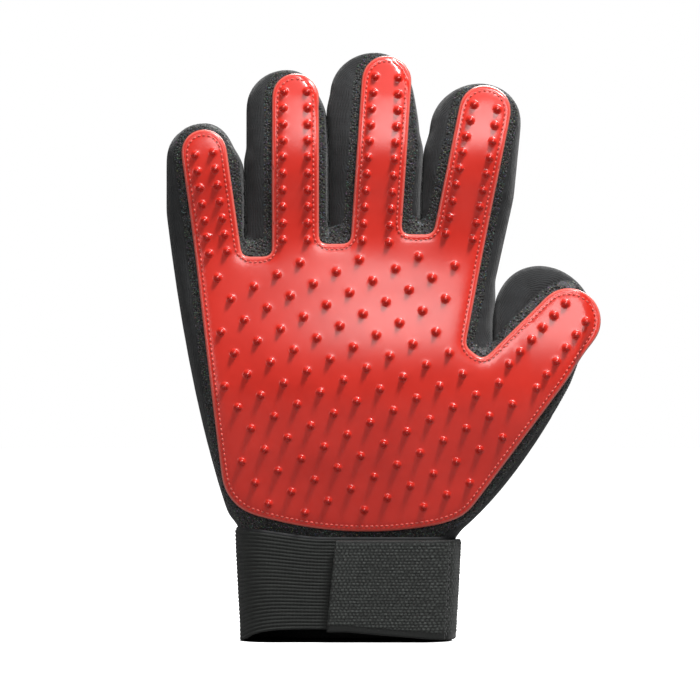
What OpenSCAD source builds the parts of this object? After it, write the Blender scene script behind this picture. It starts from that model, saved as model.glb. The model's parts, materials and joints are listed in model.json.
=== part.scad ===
// Right-hand grooming glove, standing on its cuff with the palm side towards -Y.
// The origin is the centre of the wrist opening, +Z runs to the fingertips and +X to the thumb side.
// Flat patterns are drawn as (x, z) outlines and given their depth along Y.

/* [Cuff] */
// Width of the elastic cuff across the wrist
cuff_w = 87; // [84:0.5:88]
// Depth of the cuff from the palm side to the back
cuff_d = 28; // [26:0.5:30]
// Height of the elastic cuff
cuff_h = 41; // [40:0.5:42]
// Thickness of the ribbed elastic
elastic_t = 2; // [1.5:0.1:2.5]
// How far the palm side of the cuff arches up at its rim
rim_rise = 5; // [3:0.5:6]

/* [Closure strap] */
// Thickness of the strap webbing
strap_t = 1.5; // [1:0.1:2]
// Thickness of the hook patch and of the loop patch
tape_t = 1; // [0.8:0.1:1.2]
// Where the free end of the strap lies across the wrist
strap_end_x = -6; // [-12:1:0]
// Where the sewn strap folds open
strap_fold_x = 36; // [33:0.5:38]

/* [Glove body] */
// Depth of the hand and fingers from the palm side to the back
body_d = 22; // [20:0.5:24]
// Thickness of the fabric walls
fabric_t = 1.5; // [1:0.1:1.8]
// Clearance between two pieces that fold against each other
fold_gap = 0.4; // [0.2:0.1:0.6]

/* [Fingers, in the order little, ring, middle, index] */
// Width of each finger
finger_w = [31, 32.5, 36.1, 36.5]; // [30:0.1:37]
// Height of each fingertip above the rim of the cuff
finger_top = [207.5, 229, 236, 223.5]; // [205:0.5:238]
// Height of the web between each finger and the next digit, the last one beside the thumb
web_z = [160, 165, 168, 119]; // [117:1:169]

/* [Rubber pad] */
// Thickness of the pad
pad_t = 1.6; // [1.2:0.1:2]
// Width of the pad on each finger
lobe_w = [18.2, 18.8, 20, 20.8]; // [17:0.1:21]
// Lean of the pad on each finger, towards the thumb
lobe_lean = [-8, 0, 3.9, 11.5]; // [-9:0.1:12]
// Height of the slots between the finger pads
slot_z = [153.6, 158.7, 162.5]; // [152:0.1:164]

/* [Nubs] */
// Height of a nub above the pad
nub_h = 2.4; // [1.8:0.1:3]
// Radius of a nub at its foot
nub_r = 1.7; // [1.4:0.1:1.8]
// Radius of a nub at its tip
nub_tip_r = 0.8; // [0.5:0.1:1]
// Distance between nubs along a finger
row_pitch = 6.6; // [6.2:0.1:6.8]
// Rows of nubs on each digit between its fingertip and its second fold, thumb last
tip_rows = [1, 3, 3, 2, 2]; // [1:1:3]
// Rows of nubs on each digit between its two folds, thumb last
base_rows = [3, 4, 5, 4, 2]; // [2:1:5]
// Rows of nubs on each digit between its first fold and the palm, thumb last
root_rows = [3, 3, 3, 3, 2]; // [1:1:3]

/* [Hidden] */
DIGITS = ["little", "ring", "middle", "index", "thumb"];
BASE = 0;
TIP = 1;
PARTS = ["base", "tip"];
LAYERS = ["back", "mesh", "sides", "pad"];

FABRIC = "#303033";
KNIT = "#26262a";
RUBBER = "#dc4a40";
THREAD = "#b8322c";
WEBBING = "#3a3c3a";
TAPE = "#202122";

THUMB = 4;
clear = fold_gap / 2;
front_y = -12;
back_y = front_y + body_d;
pad_y = front_y - pad_t;
hand_z = cuff_h + 1.5;
cap_h = 0.47;           // height of a fingertip's round end, as a share of the finger's width
web_gap = 1;            // space between two neighbouring fingers
first_left = -72;       // little-finger edge of the glove
index_lean = 5.7;

// Left edge of each finger, one after the other from the little finger.
finger_left = [
    for (i = [0:3])
        first_left + (i > 0 ? finger_w[0] + web_gap : 0) + (i > 1 ? finger_w[1] + web_gap : 0)
            + (i > 2 ? finger_w[2] + web_gap + 0.2 : 0)
];
finger_lean = [0, 0, 0, index_lean];
lobe_top = [for (i = [0:3]) finger_top[i] - [3.1, 1.8, 1.6, 1.1][i]];
first_row = [10.1, 7.7, 9, 9.3, 8.9];   // from the end of the pad to its first row of nubs
row_half = [3.6, 5, 5.3, 5.5, 7.8];     // half the distance between the two rows of nubs
lobe_shift = [3.3, 3.6, 1.4, -0.6];     // pad's centre line from the finger's, at the first fold

// The thumb is drawn in its own frame: x across it, z along it, from the crotch of the pad.
thumb_root = [64.3, 103.6];
thumb_lean = 41.4;
thumb_end = 49;
thumb_pad_end = 47.6;
thumb_cap_z = 31;
thumb_left = [-20.5, -26.8, -27];       // at the first fold, the second fold and the round end
thumb_right = [19.9, 14.9, 14];
thumb_pad_left = [-12.2, -11.2, -10.9];
thumb_pad_right = [17.2, 15.3, 15];
thumb_slit = [58.5, 59.2];              // the slit between the hand and the thumb, above the thumb's web
slit_top = 138;

// Heights of the two folds of each digit. Both lie midway between two rows of nubs.
function row_z(i, row) =
    i == THUMB
        ? thumb_pad_end - first_row[i] - row * row_pitch
        : lobe_top[i] - (first_row[i] + row * row_pitch) * cos(lobe_lean[i]);
fold_z = [
    for (i = [0:4]) [row_z(i, tip_rows[i] + base_rows[i] - 0.5), row_z(i, tip_rows[i] - 0.5)]
];

// ---- points and outlines ----

function unit(v) = v / norm(v);
function left_of(v) = [-v[1], v[0]];
function last(list) = list[len(list) - 1];
function reversed(list) = [for (k = [len(list) - 1:-1:0]) list[k]];
function mix(a, b, t) = a + (b - a) * t;

function arc(centre, r, from, to, steps) = [
    for (k = [0:steps]) centre + r * [cos(mix(from, to, k / steps)), sin(mix(from, to, k / steps))]
];

// Quadratic curve from a to b, pulled towards c.
function curve(a, c, b, steps) = [
    for (k = [0:steps]) let (t = k / steps) mix(mix(a, c, t), mix(c, b, t), t)
];

// Arc of radius r that rounds the corner b between the directions to a and to c.
function corner(a, b, c, r, steps = 4) =
    let (
        u = unit(a - b),
        v = unit(c - b),
        half = acos(u * v) / 2,
        centre = b + unit(u + v) * r / sin(half),
        p = b + u * r / tan(half) - centre,
        q = b + v * r / tan(half) - centre,
        turn = atan2(p[0] * q[1] - p[1] * q[0], p * q),
        start = atan2(p[1], p[0])
    )
    arc(centre, r, start, start + turn, steps);

function rounded(points, r) = [
    points[0],
    for (k = [1:len(points) - 2]) each corner(points[k - 1], points[k], points[k + 1], r),
    last(points)
];

// The same path moved a distance to its left.
function moved_left(path, distance) = [
    for (k = [0:len(path) - 1])
        let (ahead = path[min(k + 1, len(path) - 1)], behind = path[max(k - 1, 0)])
        path[k] + left_of(unit(ahead - behind)) * distance
];

function segment_distance(p, a, b) =
    let (t = ((p - a) * (b - a)) / ((b - a) * (b - a)))
    norm(p - mix(a, b, min(max(t, 0), 1)));

function edge_distance(p, outline) = min([
    for (k = [0:len(outline) - 1]) segment_distance(p, outline[k], outline[(k + 1) % len(outline)])
]);

function crosses(p, a, b) =
    (a[1] > p[1]) != (b[1] > p[1]) && p[0] < mix(a[0], b[0], (p[1] - a[1]) / (b[1] - a[1]));

function is_inside(p, outline) =
    len([
        for (k = [0:len(outline) - 1])
            if (crosses(p, outline[k], outline[(k + 1) % len(outline)])) 1
    ]) % 2 == 1;

function thumb_to_glove(p) =
    thumb_root + p[0] * [cos(thumb_lean), -sin(thumb_lean)] + p[1] * [sin(thumb_lean), cos(thumb_lean)];

// ---- one digit, in its own frame ----

// Straight edge through three heights: first fold, second fold and start of the round end.
function along(values, i, z) =
    let (folds = fold_z[i])
    z < folds[1]
        ? mix(values[0], values[1], (z - folds[0]) / (folds[1] - folds[0]))
        : mix(values[1], values[2], (z - folds[1]) / (thumb_cap_z - folds[1]));

// Outline of the fabric at a height: side is -1 for the left edge and 1 for the right one.
function finger_mid(i, z) = finger_left[i] + finger_w[i] / 2 + tan(finger_lean[i]) * (z - fold_z[i][0]);
function fabric_x(i, side, z) =
    i == THUMB
        ? along(side < 0 ? thumb_left : thumb_right, i, z)
        : finger_mid(i, z) + side * finger_w[i] / 2;

function cap_start(i) = i == THUMB ? thumb_cap_z : finger_top[i] - cap_h * finger_w[i];
function cap_end(i) = i == THUMB ? thumb_end : finger_top[i];

// Round end of the fabric, from its right edge to its left one.
function cap(i, inset) =
    let (
        z = cap_start(i),
        rise = cap_end(i) - z - inset,
        right = fabric_x(i, 1, z) - inset,
        left = fabric_x(i, -1, z) + inset,
        lean = i == THUMB ? 0 : tan(finger_lean[i])
    )
    [
        for (k = [0:14])
            let (a = k * 180 / 14)
            [(right + left) / 2 + (right - left) / 2 * cos(a) + lean * rise * sin(a), z + rise * sin(a)]
    ];

function fabric_outline(i, part, inset, overrun) =
    let (
        low = fold_z[i][part] + clear - overrun,
        high = part == BASE ? fold_z[i][TIP] - clear + overrun : 0
    )
    concat(
        [[fabric_x(i, -1, low) + inset, low], [fabric_x(i, 1, low) - inset, low]],
        part == BASE
            ? [[fabric_x(i, 1, high) - inset, high], [fabric_x(i, -1, high) + inset, high]]
            : cap(i, inset)
    );

// Pad of a digit, narrower than the fabric.
function pad_mid(i, z) =
    finger_left[i] + finger_w[i] / 2 + lobe_shift[i] + tan(lobe_lean[i]) * (z - fold_z[i][0]);
function pad_x(i, side, z) =
    i == THUMB
        ? along(side < 0 ? thumb_pad_left : thumb_pad_right, i, z)
        : pad_mid(i, z) + side * lobe_w[i] / 2 / cos(lobe_lean[i]);
function pad_point(i, side, z) = [pad_x(i, side, z), z];

function pad_cap(i) =
    i == THUMB
        ? let (r = (thumb_pad_right[2] - thumb_pad_left[2]) / 2)
            arc([thumb_pad_left[2] + r, thumb_pad_end - r], r, 0, 180, 12)
        : let (r = lobe_w[i] / 2, z = lobe_top[i] - r)
            arc([pad_mid(i, z), z], r, -lobe_lean[i], 180 - lobe_lean[i], 12);

function pad_outline(i, part) =
    let (low = fold_z[i][part] + clear, high = fold_z[i][TIP] - clear)
    concat(
        [pad_point(i, -1, low), pad_point(i, 1, low)],
        part == BASE ? [pad_point(i, 1, high), pad_point(i, -1, high)] : pad_cap(i)
    );

// Places of the nubs of some rows of a digit.
function nub_places(i, rows) = [
    for (row = rows)
        for (side = [-1, 1])
            let (
                z = row_z(i, row),
                lean = i == THUMB ? 0 : lobe_lean[i],
                mid = i == THUMB ? (pad_x(i, -1, z) + pad_x(i, 1, z)) / 2 : pad_mid(i, z),
                half = min(row_half[i], 2.9 + row * 0.35 + row_half[i] / 3)
            )
            [mid + side * half * cos(lean), z - side * half * sin(lean)]
];

// ---- outlines of the hand ----

// Edge of the fabric from the cuff up the little-finger side, and the same on the thumb side.
little_edge = curve(
    [-cuff_w / 2 - 0.9, hand_z], [-62.5, 92], [fabric_x(0, -1, fold_z[0][0]), fold_z[0][0] - clear], 10
);
thumb_edge = curve(
    [cuff_w / 2 + 0.9, hand_z],
    [68, 62],
    thumb_to_glove([thumb_right[0], fold_z[THUMB][0] - clear]),
    10
);
// Slit from the thumb's first fold down to its web and up beside the index finger.
thumb_cut = [
    thumb_to_glove([thumb_left[0], fold_z[THUMB][0] - clear]),
    [thumb_slit[1], web_z[THUMB - 1]],
    [thumb_slit[0], web_z[THUMB - 1]],
    [thumb_slit[0], slit_top]
];
// Edge from the top of that slit to the index finger's first fold.
crotch_edge = [last(thumb_cut), [fabric_x(3, 1, fold_z[3][0]), fold_z[3][0] - clear]];

function web_cut(i) =
    let (right = finger_left[i] + finger_w[i], left = finger_left[i + 1])
    [[left, fold_z[i + 1][0] - clear], [left, web_z[i]], [right, web_z[i]], [right, fold_z[i][0] - clear]];

hand_outline = concat(
    thumb_edge, thumb_cut, [last(crotch_edge)], web_cut(2), web_cut(1), web_cut(0), reversed(little_edge)
);

// Edge of the palm pad, in stretches between the folds.
pad_low_edge = concat(
    [pad_point(0, -1, fold_z[0][0] - clear), [-60.4, 156]],
    arc([-31.5, 68], 18, 187, 252.6, 6),
    arc([8, 194], 150, 254, 281, 8),
    arc([36.5, 65.5], 18, 282.5, 323.1, 5),
    [thumb_to_glove([thumb_pad_right[0], fold_z[THUMB][0] - clear])]
);
pad_crotch_edge = rounded(
    [
        thumb_to_glove([thumb_pad_left[0], fold_z[THUMB][0] - clear]),
        [54.4, 112.4],
        [47.4, 117.8],
        pad_point(3, 1, fold_z[3][0] - clear)
    ],
    2.5
);
function pad_slot_edge(i) = rounded(
    [
        pad_point(i + 1, -1, fold_z[i + 1][0] - clear),
        pad_point(i + 1, -1, slot_z[i]),
        pad_point(i, 1, slot_z[i]),
        pad_point(i, 1, fold_z[i][0] - clear)
    ],
    2
);
palm_pad_edges = [pad_low_edge, pad_crotch_edge, pad_slot_edge(2), pad_slot_edge(1), pad_slot_edge(0)];
palm_pad_outline = [for (edge = palm_pad_edges) each edge];

// Palm nubs: a slightly turned grid, kept clear of the pad's edge and of the fingers' own rows.
grid_start = [-13, 142.8];
grid_u = [9.15, 4.8];
grid_v = [5.3, -8.4];
grid_margin = 5;
function rows_past_fold(i) = [for (k = [0:root_rows[i] - 1]) tip_rows[i] + base_rows[i] + k];
root_nubs = concat(
    [for (i = [0:3]) each nub_places(i, rows_past_fold(i))],
    [for (p = nub_places(THUMB, rows_past_fold(THUMB))) thumb_to_glove(p)]
);
function is_clear(p, others, distance) = min([for (q = others) norm(p - q)]) > distance;
palm_nubs = [
    for (i = [-14:14])
        for (j = [-8:16])
            let (p = grid_start + i * grid_u + j * grid_v)
            if (
                is_inside(p, palm_pad_outline)
                && edge_distance(p, palm_pad_outline) > grid_margin
                && is_clear(p, root_nubs, 6)
            ) p
];

// ---- shapes ----

// Gives an (x, z) outline its depth, from y towards the back.
module upright(y, depth) {
    translate([0, y + depth, 0]) rotate([90, 0, 0]) linear_extrude(depth) children();
}

module digit_frame(i) {
    if (i == THUMB)
        translate([thumb_root[0], 0, thumb_root[1]]) rotate([0, thumb_lean, 0]) children();
    else
        children();
}

module ribbon(path, width) {
    polygon(concat(path, reversed(moved_left(path, width))));
}

module nub() {
    rotate([90, 0, 0]) cylinder(h = nub_h, r1 = nub_r, r2 = nub_tip_r, $fn = 24);
}

module nubs(places) {
    for (p = places) translate([p[0], pad_y, p[1]]) nub();
}

module digit_back(i, part) {
    color(FABRIC) digit_frame(i)
        upright(back_y - fabric_t, fabric_t) polygon(fabric_outline(i, part, 0, 0));
}

module digit_mesh(i, part) {
    color(FABRIC) digit_frame(i)
        upright(front_y, fabric_t) polygon(fabric_outline(i, part, 0, 0));
}

module digit_sides(i, part) {
    color(KNIT) digit_frame(i)
        upright(front_y + fabric_t, body_d - 2 * fabric_t)
            difference() {
                polygon(fabric_outline(i, part, 0, 0));
                polygon(fabric_outline(i, part, fabric_t, 1));
            }
}

module digit_pad(i, part) {
    first = part == TIP ? 0 : tip_rows[i];
    count = part == TIP ? tip_rows[i] : base_rows[i];
    color(RUBBER) digit_frame(i) {
        upright(pad_y, pad_t) polygon(pad_outline(i, part));
        nubs(nub_places(i, [first:first + count - 1]));
    }
}

module palm_mesh() {
    color(FABRIC) upright(front_y, fabric_t) polygon(hand_outline);
}

module back_panel() {
    color(FABRIC) upright(back_y - fabric_t, fabric_t) polygon(hand_outline);
}

module hand_wall() {
    upright(front_y + fabric_t, body_d - 2 * fabric_t) children();
}

module little_side_panel() {
    color(KNIT) hand_wall() ribbon(little_edge, -fabric_t);
}

module thumb_side_panel() {
    color(KNIT) hand_wall() ribbon(thumb_edge, fabric_t);
}

module thumb_crotch_panel() {
    color(KNIT) hand_wall() ribbon(crotch_edge, fabric_t);
}

// The fourchettes between two digits, joined by the web at their foot.
module finger_webs() {
    w = [fabric_t, 0];
    h = [0, fabric_t];
    thumb_top = thumb_to_glove([thumb_left[0] + fabric_t, fold_z[THUMB][0] - clear]);
    color(KNIT) hand_wall() {
        for (cut = [web_cut(0), web_cut(1), web_cut(2)])
            polygon(concat(cut, [cut[3] - w, cut[2] - w - h, cut[1] + w - h, cut[0] + w]));
        polygon(concat(
            thumb_cut, [thumb_cut[3] - w, thumb_cut[2] - w - h, thumb_cut[1] + w - h, thumb_top]
        ));
    }
}

module palm_pad() {
    color(RUBBER) {
        upright(pad_y, pad_t) polygon(palm_pad_outline);
        nubs(concat(palm_nubs, root_nubs));
    }
}

// Thread that sews the pad down, as a low line just inside its edge.
module pad_stitches() {
    stitch_inset = 2;
    stitch_w = 0.5;
    stitch_h = 0.3;
    fold_margin = 1;
    color(THREAD) upright(pad_y - stitch_h, stitch_h)
        intersection() {
            for (edge = palm_pad_edges) ribbon(moved_left(edge, stitch_inset), stitch_w);
            translate([0, -fold_margin]) polygon(palm_pad_outline);
        }
}

// Flat oval outline of the wrist.
module oval(grow) {
    d = cuff_d + 2 * grow;
    half = (cuff_w - cuff_d) / 2;
    translate([-half, -d / 2]) square([2 * half, d]);
    for (side = [-1, 1]) translate([side * half, 0]) circle(d = d, $fn = 96);
}

// Seam allowance that closes the step between the cuff and the hand.
module wrist_seam() {
    color(KNIT) translate([0, 0, cuff_h]) linear_extrude(hand_z - cuff_h)
        difference() {
            translate([-0.9, 0]) oval(0);
            translate([0.9, 0]) oval(-4);
        }
}

module cuff_elastic() {
    arch_half = 32;
    arch_r = (arch_half * arch_half + rim_rise * rim_rise) / (2 * rim_rise);
    color(WEBBING) difference() {
        linear_extrude(cuff_h) difference() {
            oval(0);
            oval(-elastic_t);
        }
        translate([0, -elastic_t - 2, rim_rise - arch_r])
            rotate([90, 0, 0]) cylinder(h = cuff_d, r = arch_r, $fn = 180);
    }
}

// Band that follows the palm side of the cuff between two places across the wrist.
module wrap(inner, thick, from, to) {
    intersection() {
        difference() {
            oval(inner + thick);
            oval(inner);
        }
        translate([from, -cuff_d]) square([to - from, cuff_d]);
    }
}

module loop_patch() {
    color(TAPE) translate([0, 0, rim_rise + 1]) linear_extrude(cuff_h - rim_rise - 4)
        wrap(0, tape_t, strap_end_x + 2, strap_fold_x - 4);
}

module hook_patch() {
    color(TAPE) translate([0, 0, rim_rise + 2]) linear_extrude(cuff_h - rim_rise - 6)
        wrap(tape_t, tape_t, strap_end_x + 3, strap_fold_x - 8);
}

// The lower edge of the strap climbs from its fold to its free end.
module under_strap(from_z) {
    run = strap_fold_x - strap_end_x;
    upright(-2 * cuff_d, 2 * cuff_d)
        polygon([
            [strap_end_x - 1, -5],
            [strap_fold_x + 1, -5],
            [strap_fold_x + 1, from_z],
            [strap_end_x - 1, from_z + 0.09 * (run + 2)]
        ]);
}

selvedge_h = 2.5;

module strap_band(low, high) {
    difference() {
        linear_extrude(high) wrap(2 * tape_t, strap_t, strap_end_x, strap_fold_x - clear);
        under_strap(low);
    }
}

module strap_tab() {
    color(WEBBING) strap_band(0.8 + selvedge_h, cuff_h);
}

// Smooth woven edge along the foot of the strap.
module strap_selvedge() {
    color(TAPE) intersection() {
        strap_band(0.8, cuff_h);
        under_strap(0.8 + selvedge_h);
    }
}

// The end of the strap that is doubled and sewn to the cuff's side seam.
module strap_anchor() {
    color(WEBBING) translate([0, 0, 0.8]) linear_extrude(cuff_h - 0.8)
        wrap(0, 2 * tape_t + strap_t, strap_fold_x + clear, cuff_w);
}

palm_mesh();
back_panel();
little_side_panel();
thumb_side_panel();
thumb_crotch_panel();
finger_webs();
palm_pad();
pad_stitches();
wrist_seam();
cuff_elastic();
loop_patch();
strap_anchor();
strap_tab();
strap_selvedge();
hook_patch();
for (i = [0:4]) for (part = [BASE, TIP]) let (piece = str(DIGITS[i], "_", PARTS[part])) {
    digit_back(i, part);
    digit_mesh(i, part);
    digit_sides(i, part);
    digit_pad(i, part);
}
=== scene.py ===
"""Right-hand grooming glove: sewn fabric shell, moulded pad, ribbed cuff and strap on the CAD frame."""
import json
import math

import bpy
import numpy as np
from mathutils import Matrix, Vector, noise
from mathutils.geometry import delaunay_2d_cdt


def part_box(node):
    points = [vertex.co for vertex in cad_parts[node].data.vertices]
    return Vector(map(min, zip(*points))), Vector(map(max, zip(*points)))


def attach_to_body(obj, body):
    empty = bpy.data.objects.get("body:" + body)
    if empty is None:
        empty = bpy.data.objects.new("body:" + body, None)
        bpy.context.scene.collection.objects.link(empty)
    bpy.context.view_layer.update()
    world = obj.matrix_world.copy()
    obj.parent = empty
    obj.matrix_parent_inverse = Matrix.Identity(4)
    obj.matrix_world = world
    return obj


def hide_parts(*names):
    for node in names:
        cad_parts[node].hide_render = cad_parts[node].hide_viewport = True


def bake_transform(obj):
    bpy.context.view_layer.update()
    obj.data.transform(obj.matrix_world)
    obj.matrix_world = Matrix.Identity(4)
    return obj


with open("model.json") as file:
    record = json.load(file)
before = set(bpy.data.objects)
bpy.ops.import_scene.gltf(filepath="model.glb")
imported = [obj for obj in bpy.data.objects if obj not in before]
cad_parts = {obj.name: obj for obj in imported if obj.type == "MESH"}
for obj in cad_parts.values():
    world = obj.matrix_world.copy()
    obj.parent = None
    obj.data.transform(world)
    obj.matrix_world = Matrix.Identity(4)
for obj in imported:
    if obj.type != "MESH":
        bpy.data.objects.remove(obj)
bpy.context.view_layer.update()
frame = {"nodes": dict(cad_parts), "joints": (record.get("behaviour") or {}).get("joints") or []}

MM = 0.001
FINGERS = ["little", "ring", "middle", "index"]
DIGITS = FINGERS + ["thumb"]
JOINTS = {joint["name"]: joint for joint in frame["joints"]}

# ---- places read from the frame ----

FRONT_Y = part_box("palm_mesh")[0].y
BACK_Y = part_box("back_panel")[1].y
HALF_DEPTH = (BACK_Y - FRONT_Y) / 2
MID_Y = (FRONT_Y + BACK_Y) / 2
WRIST_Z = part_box("palm_mesh")[0].z
NUB_TIP_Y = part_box("palm_pad")[0].y
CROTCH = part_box("thumb_crotch_panel")[0]
CROTCH_GAP_X = CROTCH.x + 1.8 * MM
CUFF_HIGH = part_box("cuff_elastic")[1]
CUFF_DEPTH = CUFF_HIGH.y
CUFF_FLAT = CUFF_HIGH.x - CUFF_HIGH.y
CUFF_TOP = CUFF_HIGH.z
CUFF_ROUND = 4 * CUFF_FLAT + 2 * math.pi * CUFF_DEPTH
FOLD_X = JOINTS["strap_peel"]["pos_m"][0]

# ---- sizes of the soft parts ----

EDGE_STEP = 1.1 * MM
SHELL_STEP = 1.9 * MM
PAD_STEP = 1.6 * MM
ROWS = [inset * MM for inset in (0.12, 0.4, 0.85, 1.5, 2.4, 3.5, 4.9)]
PAD_ROWS = [inset * MM for inset in (0.12, 0.32, 0.6, 1.0, 1.6, 2.2, 2.8)]
CLOSED_GAP = 0.008 * MM
PAD_T = 1.6 * MM
PAD_ROUND = 0.9 * MM
NUB_H = 2.5 * MM
SMALLEST_ROUND = 3.0 * MM
MESH_STRIP = 3.2 * MM
SIDE_SEAM = 0.8 * MM
BACK_SEAM = 3.5 * MM
SEAM_W = 0.5 * MM
SEAM_DEPTH = 0.45 * MM
STITCH_INSET = 2.2 * MM
STITCH_PITCH = 2.0 * MM
CUFF_TUCK = 6 * MM
CUFF_CLEARANCE = 1.4 * MM
STRAP_SIDE = 3.2 * MM
CUFF_LIFT = 3.5 * MM
# For each gap: the fold it is measured from, and how far past that fold the two digits touch, in mm.
TOUCH = [("little_tip_bend", 2), ("ring_tip_bend", 12), ("index_tip_bend", -4), ("thumb_tip_bend", 15)]
TIP_TAPER = 0.24
BACK_ROUND = 12 * MM
RIM_RISE = 5.3 * MM
ELASTIC_T = 2 * MM
TAPE_T = 1 * MM
STRAP_T = 1.5 * MM
SELVEDGE_H = 2.5 * MM
STRAP_SINK = 1.6 * MM
PEBBLE_W = 1.6 * MM
PEBBLE_H = 1.2 * MM
PAD_OVERHANG = 0.35
NUB_SIDES = 14
EDGE_CROWN = 0.9 * MM
PALM_CROWN = 2.6 * MM
BACK_RELIEF = 2.5 * MM
TIP_LEAN = 3.5 * MM
WEB_WIDENING = 7 * MM
# Heights in mm against the share of the body's depth, and against how far the palm side stands out.
DEPTH_ALONG = [(36, 1.08), (45, 1.08), (60, 1.04), (80, 1.06), (150, 1.02), (200, 0.94), (236, 0.84)]
PALM_RELIEF = [(36, -0.4), (60, 0.2), (102, 4.2), (158, -3.4), (196, 1.0), (216, -1.3), (236, -5.0)]
# Radius and height in mm from the tip of a nub to its foot.
NUB_SHAPE = [
    (0, 2.6), (0.3, 2.56), (0.62, 2.4), (0.9, 2.04), (1.08, 1.5),
    (1.24, 0.9), (1.46, 0.36), (1.8, 0.08), (2.2, 0),
]

# ---- camera and lights ----

VIEW_HEIGHT = 278 * MM
VIEW_CENTRE = (1.6 * MM, 116.4 * MM)
WORLD_LIGHT = 0.06
FLOOR_GLOW = 1.0
BOUNCED_GREY = 0.25
LENS = 200
# Name, place in metres, size in metres and power in watts.
LIGHTS = [
    ("key", (0.4, -0.42, 1.15), 0.25, 17.0),
    ("top", (0.15, -0.4, 1.2), 0.9, 2.0),
    ("sheen", (0.12, -1.1, 0.74), 0.34, 3.7),
    ("fill", (-0.9, -0.9, 0.25), 0.6, 2.5),
    ("back", (0.2, 0.9, 0.7), 0.6, 7.0),
]


# ---- plane curves: every curve is an array of (x, z) points ----

def lengths(path):
    """Arc length of a path at each of its points."""
    return np.concatenate([[0], np.cumsum(np.linalg.norm(np.diff(path, axis=0), axis=1))])


def closed(path):
    return np.vstack([path, path[:1]])


def even(path, step):
    """An open path with its points spread evenly."""
    along = lengths(path)
    count = max(int(round(along[-1] / step)), 1)
    at = np.linspace(0, along[-1], count + 1)
    return np.column_stack([np.interp(at, along, path[:, k]) for k in (0, 1)])


def smoothed(path, passes):
    """An open path with its corners eased; the ends stay."""
    for _ in range(passes):
        path = path.copy()
        path[1:-1] = (path[:-2] + 2 * path[1:-1] + path[2:]) / 4
    return path


def left_normals(path):
    """Unit vectors to the left of an open path, at its points."""
    run = np.gradient(path, axis=0)
    run /= np.maximum(np.linalg.norm(run, axis=1), 1e-12)[:, None]
    return np.column_stack([-run[:, 1], run[:, 0]])


def nearest(points, path):
    """For each point: its distance to an open path, and the arc length of the nearest place on it."""
    start, run = path[:-1], np.diff(path, axis=0)
    squared = np.maximum((run ** 2).sum(1), 1e-18)
    along = lengths(path)
    distance, place = np.empty(len(points)), np.empty(len(points))
    for low in range(0, len(points), 1500):
        block = points[low:low + 1500, None, :]
        k = np.clip(((block - start) * run).sum(2) / squared, 0, 1)
        gap = ((block - start - k[:, :, None] * run) ** 2).sum(2)
        best = gap.argmin(1)
        row = np.arange(len(best))
        distance[low:low + 1500] = np.sqrt(gap[row, best])
        place[low:low + 1500] = along[best] + k[row, best] * np.sqrt(squared[best])
    return distance, place


def is_inside(points, loop):
    """Even-odd test of points against a closed loop."""
    a, b = loop, np.roll(loop, -1, axis=0)
    result = np.zeros(len(points), bool)
    for low in range(0, len(points), 1500):
        x, z = points[low:low + 1500, 0, None], points[low:low + 1500, 1, None]
        spans = (a[:, 1] > z) != (b[:, 1] > z)
        rise = np.where(b[:, 1] == a[:, 1], 1, b[:, 1] - a[:, 1])
        crossing = a[:, 0] + (z - a[:, 1]) / rise * (b[:, 0] - a[:, 0])
        result[low:low + 1500] = (spans & (x < crossing)).sum(1) % 2 == 1
    return result


def hex_grid(low, high, step):
    rows = []
    for j, z in enumerate(np.arange(low[1], high[1], step * math.sqrt(3) / 2)):
        x = np.arange(low[0] + (j % 2) * step / 2, high[0], step)
        rows.append(np.column_stack([x, np.full(len(x), z)]))
    return np.vstack(rows)


def grid_inside(loop, field, step, clear):
    """A grid of points inside a loop that keeps clear of the field's lines."""
    grid = hex_grid(loop.min(0), loop.max(0), step)
    grid = grid[is_inside(grid, loop)]
    return grid[nearest(grid, field)[0] > clear]


def thinned(points, gap):
    """The points that keep a gap from every earlier point, found with a bucket grid."""
    taken, kept = {}, []
    for index, (x, z) in enumerate(points):
        cell = (int(x // gap), int(z // gap))
        near = [taken.get((cell[0] + i, cell[1] + j), ()) for i in (-1, 0, 1) for j in (-1, 0, 1)]
        if all((x - p) ** 2 + (z - q) ** 2 > gap * gap for bucket in near for p, q in bucket):
            taken.setdefault(cell, []).append((x, z))
            kept.append(index)
    return points[kept]


def triangulate(loop, inner, lines):
    """Triangles inside a closed loop, through extra points and along extra open lines."""
    points = [loop]
    edges = [(i, (i + 1) % len(loop)) for i in range(len(loop))]
    count = len(loop)
    for line in lines:
        points.append(line)
        edges += [(count + i, count + i + 1) for i in range(len(line) - 1)]
        count += len(line)
    points.append(inner)
    coords = [Vector(p) for p in np.vstack(points)]
    made = delaunay_2d_cdt(coords, edges, [], 1, 1e-7, False)
    points = np.array([tuple(p) for p in made[0]])
    faces = np.array([f for f in made[2] if len(f) == 3])
    faces = faces[is_inside(points[faces].mean(1), loop)]
    used = np.unique(faces)
    renumber = np.full(len(points), -1)
    renumber[used] = np.arange(len(used))
    return points[used], renumber[faces]


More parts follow.
